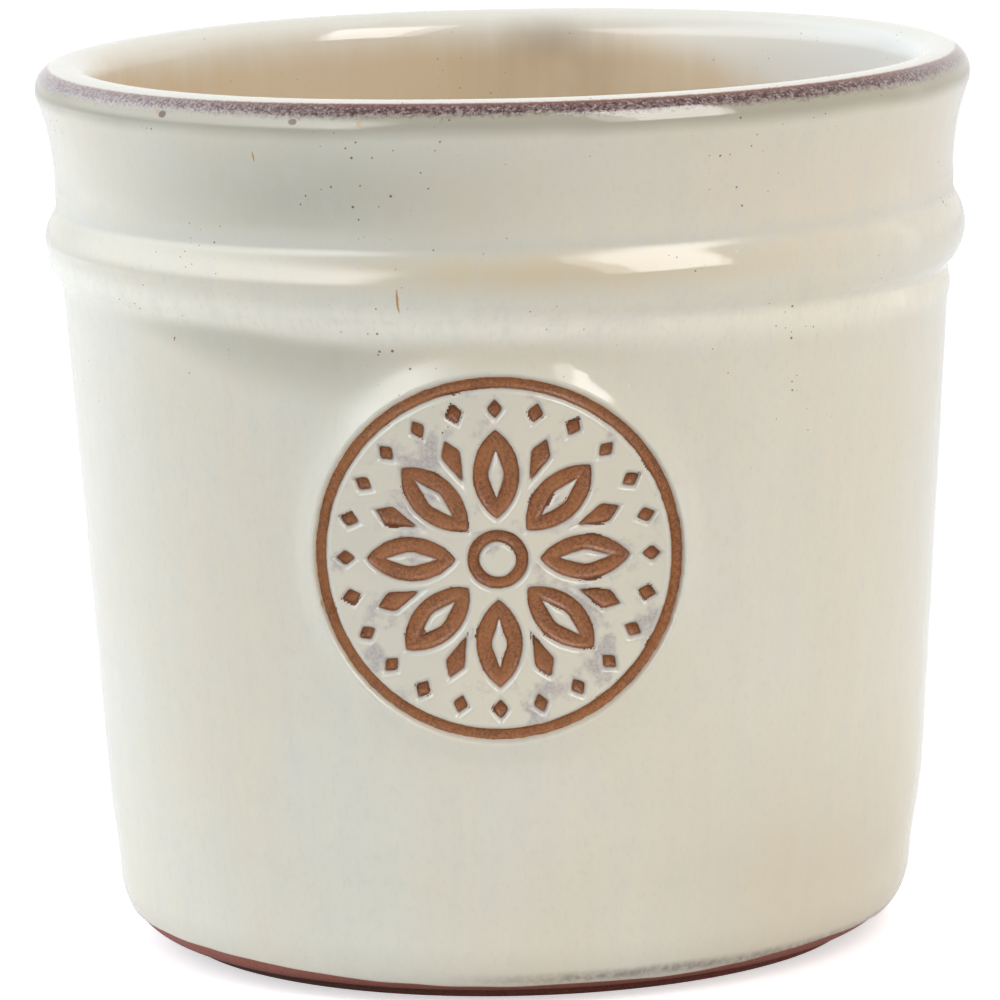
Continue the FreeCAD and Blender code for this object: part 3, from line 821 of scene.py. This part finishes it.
# single firing flaws, one of them a painted glint: degrees from the front, height, half width, half
# height, colour
flaws = [
    # the small ochre dot at -43.5 degrees is a painted glint on the lit side of the dark flaw beside it
    (-42.6, 0.2789, 0.0020, 0.0013, "lipBand"), (-43.5, 0.2795, 0.0008, 0.0007, "ochre"),
    (-23.5, 0.2788, 0.0018, 0.0011, "lipBand"), (-15.2, 0.2785, 0.0010, 0.0009, "ochre"),
    (-11.3, 0.2245, 0.0005, 0.0046, "ochre"), (-29.4, 0.2675, 0.0004, 0.0020, "ochre"),
]


def tintWall(tree, place, colour, drift, tone):
    side, deep, level = placeParts(tree, place)
    swayed = maths(tree, "ADD", level, drift)
    zone = hump(tree, swayed, *wallLook["neck"])
    colour = glazed(tree, colour, "neckShade", zone, hump(tree, side, *wallLook["neckLeft"]), 0.75)
    colour = glazed(tree, colour, "neckBlush", zone, ramp(tree, side, *wallLook["neckRight"]), 0.5)
    colour = glazed(tree, colour, "bead", zone, hump(tree, side, *wallLook["neckFront"]), 0.25)
    zone = hump(tree, level, *wallLook["bead"])
    colour = glazed(tree, colour, "bead", zone, hump(tree, side, *wallLook["beadSide"]), 0.8)
    # milky glaze on the roll under the bead, strengthened on the left as a painted highlight where the
    # roll catches the light
    tilted = maths(tree, "ADD", level, maths(tree, "MULTIPLY", side, wallLook["milkAndSheenTilt"]))
    zone = hump(tree, tilted, *wallLook["milkAndSheen"])
    colour = glazed(tree, colour, "milkAndSheen", zone, ramp(tree, side, *wallLook["milkAndSheenSide"]))
    zone = hump(tree, level, *wallLook["toast"])
    colour = glazed(tree, colour, "toast", zone, hump(tree, side, *wallLook["toastSide"]), 0.6)

    # painted shade under the roll, on the left, widening towards the seal
    underRoll = maths(tree, "ADD", swayed, ramp(tree, side, *rollShadeLook["tilt"]))
    drop = maths(tree, "SUBTRACT", rollShadeLook["top"], underRoll)
    depth = maths(tree, "DIVIDE", drop, ramp(tree, side, *rollShadeLook["deep"]))
    ends = product(tree, ramp(tree, side, *rollShadeLook["left"]), ramp(tree, side, *rollShadeLook["right"]))
    rollShade = product(tree, ramp(tree, drop, *rollShadeLook["starts"]), ramp(tree, depth, *rollShadeLook["fades"]))
    front = ramp(tree, deep, *rollShadeLook["front"])
    colour = glazed(tree, colour, "rollShade", rollShade, ends, front)

    colour = glazed(tree, colour, "cool", hump(tree, level, *wallLook["pool"]), 0.35)
    colour = glazed(tree, colour, "cool", ramp(tree, tone["Run"], 0.35, 0.75, 0.0, 0.18))
    mottle = noiseAt(tree, place, 130.0, (1, 1, 0.8), 4.0, 0.6, 5.0)
    colour = glazed(tree, colour, "cool", ramp(tree, mottle, 0.45, 0.70, 0.0, 0.20))
    fleck = noiseAt(tree, place, 640.0, (1, 1, 0.6), 2.0, 0.5, 9.0)
    colour = glazed(tree, colour, "toast", ramp(tree, fleck, 0.52, 0.72, 0.0, 0.16))
    # painted shade: darker and warmer low on the right
    zone = ramp(tree, level, *wallLook["low"])
    return glazed(tree, colour, "toast", zone, ramp(tree, side, *wallLook["lowSide"]), 0.45)


def tintLip(tree, place, colour, grain, lift, drift):
    # the lip's colours go by the distance down from its crest
    side, deep, level = placeParts(tree, place)
    rise = maths(tree, "SUBTRACT", level, lipCentre[1])
    turn = maths(tree, "ARCTAN2", rise, maths(tree, "SUBTRACT", lengthOf(tree, side, deep), lipCentre[0]))
    fromCrest = maths(tree, "SUBTRACT", math.pi / 2, turn)
    lipArc = maths(tree, "MULTIPLY", fromCrest, form["lipRound"] + glaze)
    slide = maths(tree, "SUBTRACT", lipArc, ramp(tree, side, *lipLook["slide"]))
    edgeArc = maths(tree, "ADD", slide, maths(tree, "ADD", lift, drift))
    oliveEnd = ramp(tree, maths(tree, "ADD", slide, drift), *lipLook["oliveEnd"])
    olive = ramp(tree, edgeArc, *lipLook["olive"])
    colour = glazed(tree, colour, "olive", olive, oliveEnd, 0.85)

    iron = mix(tree, ramp(tree, grain, *lipLook["grain"]), glazeLook["lipBand"], glazeLook["lipGrain"])
    frost = noiseAt(tree, place, 900.0, (1, 1, 1.4), 3.0, 0.65, 4.0)
    iron = glazed(tree, iron, "lipFrost", ramp(tree, frost, *lipLook["frost"]))
    iron = glazed(tree, iron, "lipRust", ramp(tree, slide, *lipLook["rust"]))
    # painted reflection: the band lightened towards its left and right ends, speckled with frost on the
    # left
    paleGrain = ramp(tree, frost, *lipLook["paleGrain"])
    sheenLeft = product(tree, ramp(tree, side, *lipLook["sheenLeft"]), paleGrain)
    pale = maths(tree, "ADD", sheenLeft, ramp(tree, side, *lipLook["sheenRight"]))
    iron = glazed(tree, iron, "lipFrost", pale)
    colour = tinted(tree, colour, iron, ramp(tree, edgeArc, *lipLook["band"]))
    crestArc = maths(tree, "ADD", slide, maths(tree, "MULTIPLY", lift, 0.25))
    return glazed(tree, colour, "crest", ramp(tree, crestArc, *lipLook["crest"]))


def tintFoot(tree, place, colour, drift):
    # the burnt line above the foot, on the right
    side, level = placeParts(tree, place)[::2]
    grain = ramp(tree, noiseAt(tree, place, 520.0, (1, 1, 0.3), 3.0, 0.6, 7.0), *smokeLook["grain"])
    swayed = maths(tree, "ADD", level, maths(tree, "MULTIPLY", drift, 0.8))
    line = hump(tree, swayed, *smokeLook["line"])
    return glazed(tree, colour, "smoke", line, grain, ramp(tree, side, *smokeLook["side"]), 0.8)


def paintFlaws(tree, place, colour, lift):
    side, deep, level = placeParts(tree, place)
    around = maths(tree, "ARCTAN2", side, maths(tree, "MULTIPLY", deep, -1.0))
    along = maths(tree, "MULTIPLY", around, clayHigh.x)
    jagged = maths(tree, "MULTIPLY", lift, 0.15)
    for turn, high, halfWide, halfHigh, tint in flaws:
        offset = maths(tree, "SUBTRACT", along, math.radians(turn) * clayHigh.x)
        offset = maths(tree, "DIVIDE", maths(tree, "ADD", offset, jagged), halfWide)
        upWall = maths(tree, "DIVIDE", maths(tree, "SUBTRACT", level, high), halfHigh)
        far = lengthOf(tree, offset, upWall)
        colour = glazed(tree, colour, tint, ramp(tree, far, 1.0, 0.60, 0.0, 0.95))
    return colour


def outerRough(tree, place):
    # duller in the hollow of the neck and on the seal's left flank
    side, deep, level = placeParts(tree, place)
    matt = dullWhere(tree, hump(tree, level, *dullLook["neck"]), 0.7)
    far = lengthOf(tree, side, maths(tree, "SUBTRACT", level, sealMiddle))
    front = ramp(tree, deep, *dullLook["front"])
    ring = hump(tree, far, *dullLook["flank"])
    flank = product(tree, ring, ramp(tree, side, *dullLook["flankSide"]), front)
    return maths(tree, "MAXIMUM", matt, dullWhere(tree, flank, 0.85))


def fireOuterGlaze(piece):
    material, tree, shader, place = newMaterial("outerGlazeFired")
    tone = useGroup(tree, tones, place)
    grain = noiseAt(tree, place, 620.0, (1, 1, 1.3), 3.0, 0.7, 2.0)
    lift = centred(tree, grain, 0.0044)
    drift = centred(tree, noiseAt(tree, place, 24.0, (1, 1, 1), 2.0, 0.5, 6.0), 0.0030)
    colour = mix(tree, tone["Cloud"], glazeLook["cream"], glazeLook["warm"])
    colour = tintWall(tree, place, colour, drift, tone)
    colour = tintLip(tree, place, colour, grain, lift, drift)
    colour = tintFoot(tree, place, colour, drift)
    colour = paintSpecks(tree, place, colour)
    colour = paintFlaws(tree, place, colour, lift)
    fireCoat(tree, shader, colour, tone["Height"], outerRough(tree, place))
    piece.data.materials.append(material)


# Liner glaze: pale towards the rim; below it a painted warm tan shade, darker in the middle, and a
# painted pale reflection on the right
linerLook = {
    "cloudy": 0.005, "streaks": 0.004, "paler": (0.030, 0.130, 0.0, 0.027), "top": (0.268, 0.2855),
    "centreShade": (0.020, 0.060), "centreShadeCloud": (0.1, 0.8), "runs": (0.4, 0.75, 0.0, 0.10),
    "right": (0.065, 0.130, 0.0, 0.7), "burnt": (0.2760, 0.011), "burntSide": (0.010, 0.020),
    "burntBack": (0.0, 0.05, 0.0, 0.6), "crest": (0.2825, 0.2852),
    "dullSide": (-0.030, 0.065), "dullBelow": (0.2805, 0.2750),
}


def fireLiner(piece):
    material, tree, shader, place = newMaterial("innerGlazeFired")
    side, deep, level = placeParts(tree, place)
    tone = useGroup(tree, tones, place)
    streaked = maths(tree, "ADD", level, centred(tree, tone["Run"], linerLook["streaks"]))
    # the pale glaze reaches lower on the right: part of the painted reflection
    paler = ramp(tree, side, *linerLook["paler"])
    shade = maths(tree, "ADD", centred(tree, tone["Cloud"], linerLook["cloudy"]), paler)
    shade = maths(tree, "ADD", streaked, shade)
    # painted shade: the tan base, darkened in the middle
    centreShadeCloud = ramp(tree, tone["Cloud"], *linerLook["centreShadeCloud"])
    centreShade = product(tree, hump(tree, side, *linerLook["centreShade"]), centreShadeCloud, 0.7)
    colour = mix(tree, centreShade, glazeLook["inside"], glazeLook["insideShade"])
    colour = glazed(tree, colour, "insideTop", ramp(tree, shade, *linerLook["top"]))
    colour = glazed(tree, colour, "insideTop", ramp(tree, tone["Run"], *linerLook["runs"]))
    # painted reflection: near white on the right
    colour = glazed(tree, colour, "insideSheen", ramp(tree, side, *linerLook["right"]))
    burntBack = ramp(tree, deep, *linerLook["burntBack"])
    burntSide = product(tree, hump(tree, side, *linerLook["burntSide"]), burntBack)
    burnt = hump(tree, level, *linerLook["burnt"])
    colour = glazed(tree, colour, "burnt", burntSide, burnt, tone["Cloud"])
    colour = glazed(tree, colour, "crest", ramp(tree, level, *linerLook["crest"]))
    colour = paintSpecks(tree, place, colour, 0.4)
    below = ramp(tree, level, *linerLook["dullBelow"])
    dull = product(tree, ramp(tree, side, *linerLook["dullSide"]), below)
    fireCoat(tree, shader, colour, tone["Height"], dullWhere(tree, dull, 1.0))
    piece.data.materials.append(material)


def lineGapOf(tree):
    # millimetres from a stamped line, kept on the seal's own vertices
    return addNode(tree, "ShaderNodeAttribute", attribute_name="lineGap").outputs["Fac"]


def fireSealGlaze(piece):
    material, tree, shader, place = newMaterial("sealGlazeFired")
    tone = useGroup(tree, tones, place)
    gap = lineGapOf(tree)
    colour = mix(tree, tone["Cloud"], glazeLook["field"], glazeLook["warm"])
    blot = ramp(tree, noiseAt(tree, place, 70.0, detail=4.0, rough=0.6, shift=2.0), 0.51, 0.66)
    dust = noiseAt(tree, place, 1100.0, detail=2.0, rough=0.6, shift=9.0)
    colour = glazed(tree, colour, "mauve", blot, ramp(tree, dust, 0.36, 0.60, 0.6, 1.0), 0.7)
    colour = glazed(tree, colour, "edge", ramp(tree, gap, 1.6, 0.5, 0.0, 0.55))
    colour = glazed(tree, colour, "edgeBrown", ramp(tree, gap, 0.35, -0.25, 0.0, 0.8))
    colour = paintSpecks(tree, place, colour)
    fireCoat(tree, shader, colour, tone["Height"])
    piece.data.materials.append(material)


# Brown wash in the stamped lines, darker along their edges: wash gathered there, with painted shade in
# the corners under the glaze
washLook = {
    "dark": rgb(110, 60, 24), "light": rgb(174, 109, 57),
    "patch": rgb(162, 104, 58), "pooledShade": rgb(84, 42, 14),
}


def fireWash(piece):
    material, tree, shader, place = newMaterial("sealStainFired")
    clayTone = useGroup(tree, grains, place)
    colour = mix(tree, ramp(tree, clayTone["Grain"], 0.30, 0.70), washLook["dark"], washLook["light"])
    colour = tinted(tree, colour, washLook["patch"], ramp(tree, clayTone["Patch"], 0.42, 0.70, 0.0, 0.6))
    # painted shade, with wash gathered, along the lines' edges
    colour = tinted(tree, colour, washLook["pooledShade"], ramp(tree, lineGapOf(tree), -0.75, 0.0, 0.0, 0.8))
    tree.links.new(colour, shader.inputs["Base Color"])
    rough = ramp(tree, clayTone["Patch"], 0.35, 0.62, 0.30, 0.60)
    tree.links.new(rough, shader.inputs["Roughness"])
    relief(tree, shader, clayTone["Grain"], 0.4, 0.0004)
    piece.data.materials.append(material)


# Bare clay of the foot, with painted shade low on the left
clayLook = {
    "dark": rgb(126, 66, 53), "light": rgb(158, 92, 75),
    "patch": rgb(142, 82, 71), "footShade": rgb(58, 32, 27),
    "shadeBelow": (0.0044, 0.0018), "shadeSide": (0.0, -0.07, 0.15, 0.8), "rough": 0.72,
}


def fireClay(piece):
    material, tree, shader, place = newMaterial("redClayFired")
    clayTone = useGroup(tree, grains, place)
    side, level = placeParts(tree, place)[::2]
    colour = mix(tree, ramp(tree, clayTone["Grain"], 0.30, 0.72), clayLook["dark"], clayLook["light"])
    colour = tinted(tree, colour, clayLook["patch"], ramp(tree, clayTone["Patch"], 0.40, 0.70, 0.0, 0.5))
    # painted shade under the heel, low on the left
    shadeSide = ramp(tree, side, *clayLook["shadeSide"])
    colour = tinted(tree, colour, clayLook["footShade"], ramp(tree, level, *clayLook["shadeBelow"]), shadeSide)
    tree.links.new(colour, shader.inputs["Base Color"])
    shader.inputs["Roughness"].default_value = clayLook["rough"]
    relief(tree, shader, clayTone["Grain"], 0.5, 0.0003)
    piece.data.materials.append(material)


fireOuterGlaze(outerGlaze)
fireLiner(innerGlaze)
fireSealGlaze(sealGlaze)
fireWash(sealStain)
fireClay(clayPot)
print("materials made")


# Floor, seen white, and the studio around it
def seenRay(tree):
    path = addNode(tree, "ShaderNodeLightPath")
    seen = maths(tree, "MAXIMUM", path.outputs["Is Camera Ray"], path.outputs["Is Glossy Ray"])
    return maths(tree, "MAXIMUM", seen, path.outputs["Is Transmission Ray"])


floorLook = {"pale": (0.86, 0.86, 0.86, 1), "rough": 0.8, "direct": 0.45, "mirrored": 0.10}
white = (1, 1, 1, 1)
startClean()
bpy.ops.mesh.primitive_plane_add(size=1, location=(0, 3.4, 0))
floor = bpy.context.active_object
floor.name = "studioFloor"
floor.scale = (12, 7.8, 1)
bpy.ops.object.transform_apply(location=True, rotation=True, scale=True)
material, tree, shader, place = newMaterial("studioFloorPale")
shader.inputs["Base Color"].default_value = floorLook["pale"]
shader.inputs["Roughness"].default_value = floorLook["rough"]
direct = addNode(tree, "ShaderNodeLightPath").outputs["Is Camera Ray"]
direct = maths(tree, "MULTIPLY", direct, floorLook["direct"])
whiter = maths(tree, "ADD", direct, maths(tree, "MULTIPLY", seenRay(tree), floorLook["mirrored"]))
shader.inputs["Emission Color"].default_value = white
tree.links.new(whiter, shader.inputs["Emission Strength"])
floor.data.materials.append(material)

# World: brighter behind and to the left, plain white where it is seen
worldLook = {
    "behind": (-0.8, 0.3, 0.26, 0.95), "left": (0.1, -0.8, 0.0, 0.5), "across": (-0.7, 0.7),
    "leftTint": (0.90, 0.98, 1.08, 1), "rightTint": (1.0, 0.97, 0.93, 1),
}
world = bpy.data.worlds.new("studioWorld")
world.use_nodes = True
bpy.context.scene.world = world
tree = world.node_tree
background = tree.nodes["Background"]
side, deep = placeParts(tree, addNode(tree, "ShaderNodeTexCoord").outputs["Generated"])[:2]
unseen = maths(tree, "ADD", ramp(tree, deep, *worldLook["behind"]), ramp(tree, side, *worldLook["left"]))
seen = seenRay(tree)
strength = addNode(tree, "ShaderNodeMix", {0: seen, 2: unseen, 3: 1.0}).outputs[0]
tree.links.new(strength, background.inputs["Strength"])
tint = mix(tree, ramp(tree, side, *worldLook["across"]), worldLook["leftTint"], worldLook["rightTint"])
tree.links.new(mix(tree, seen, tint, white), background.inputs["Color"])

# Lamps: degrees round and up, distance, width, height, watts, colour, lights the pot, is mirrored
lampAim = Vector((0, 0, 0.16))
lamps = {
    "keyBox": (41, 36, 2.2, 1.15, 1.7, 20, (1.0, 0.97, 0.94), True, True),
    "keyShine": (46, 34, 2.2, 0.95, 1.5, 21, (1.0, 0.99, 0.98), False, True),
    "stripRight": (118, 8, 1.6, 0.22, 1.3, 0.4, (1.0, 0.98, 0.96), False, True),
    "backLeft": (-118, 16, 2.0, 1.0, 1.6, 8, (0.90, 0.97, 1.05), True, False),
    "fillLeft": (-62, 30, 2.4, 1.6, 1.6, 5.5, (0.90, 0.97, 1.05), True, False),
    "windowLeft": (-83, 27, 2.0, 6.0, 2.2, 265, (0.98, 0.98, 0.97), False, True),
}
windowFade = {"back": 1.0, "front": 0.18, "low": 0.26, "high": 0.52}


def softbox(name, azimuth, elevation, distance, wide, high, watts, colour, lights, mirrored):
    side = math.radians(azimuth)
    rise = math.radians(elevation)
    away = Vector((math.sin(side) * math.cos(rise), -math.cos(side) * math.cos(rise), math.sin(rise)))
    data = bpy.data.lights.new(name, "AREA")
    data.shape = "RECTANGLE"
    data.size = wide
    data.size_y = high
    data.energy = watts
    data.color = colour
    lamp = bpy.data.objects.new(name, data)
    bpy.context.scene.collection.objects.link(lamp)
    lamp.location = lampAim + away * distance
    lamp.rotation_euler = away.to_track_quat("Z", "Y").to_euler()
    lamp.visible_diffuse = lights
    lamp.visible_glossy = mirrored


def fadeEdges(data, back, front, low, high):
    # a curtained window, full in the middle and fading to its edges
    data.use_nodes = True
    tree = data.node_tree
    spots = addNode(tree, "ShaderNodeNewGeometry").outputs["Parametric"]
    along, rise = placeParts(tree, spots)[:2]
    ends = product(tree, ramp(tree, along, 0.0, back), ramp(tree, along, 1.0, 1 - front))
    shine = product(tree, ends, ramp(tree, rise, 0.0, low), ramp(tree, rise, 1.0, 1 - high))
    tree.links.new(shine, tree.nodes["Emission"].inputs["Strength"])


for name, settings in lamps.items():
    softbox(name, *settings)
fadeEdges(bpy.data.lights["windowLeft"], **windowFade)

# Camera at the photograph's place
view = {
    "distance": 2.3, "height": 0.5231, "pitch": 9.48, "around": 1.75,
    "yaw": 0.0955, "roll": -1.236, "lens": 259.1, "sensor": 36, "reach": 60,
}
lens = bpy.data.cameras.new("photoCamera")
lens.sensor_width = view["sensor"]
lens.lens = view["lens"]
lens.clip_end = view["reach"]
cameraPiece = bpy.data.objects.new("photoCamera", lens)
bpy.context.scene.collection.objects.link(cameraPiece)
around = math.radians(view["around"])
stand = (view["distance"] * math.sin(around), -view["distance"] * math.cos(around), view["height"])
turned = Matrix.Rotation(around + math.radians(view["yaw"]), 4, "Z")
turned = turned @ Matrix.Rotation(math.radians(90 - view["pitch"]), 4, "X")
rolled = Matrix.Rotation(math.radians(view["roll"]), 4, "Z")
cameraPiece.matrix_world = Matrix.Translation(stand) @ turned @ rolled
bpy.context.scene.camera = cameraPiece
bpy.context.scene.view_settings.view_transform = "Standard"

print("scene ready")
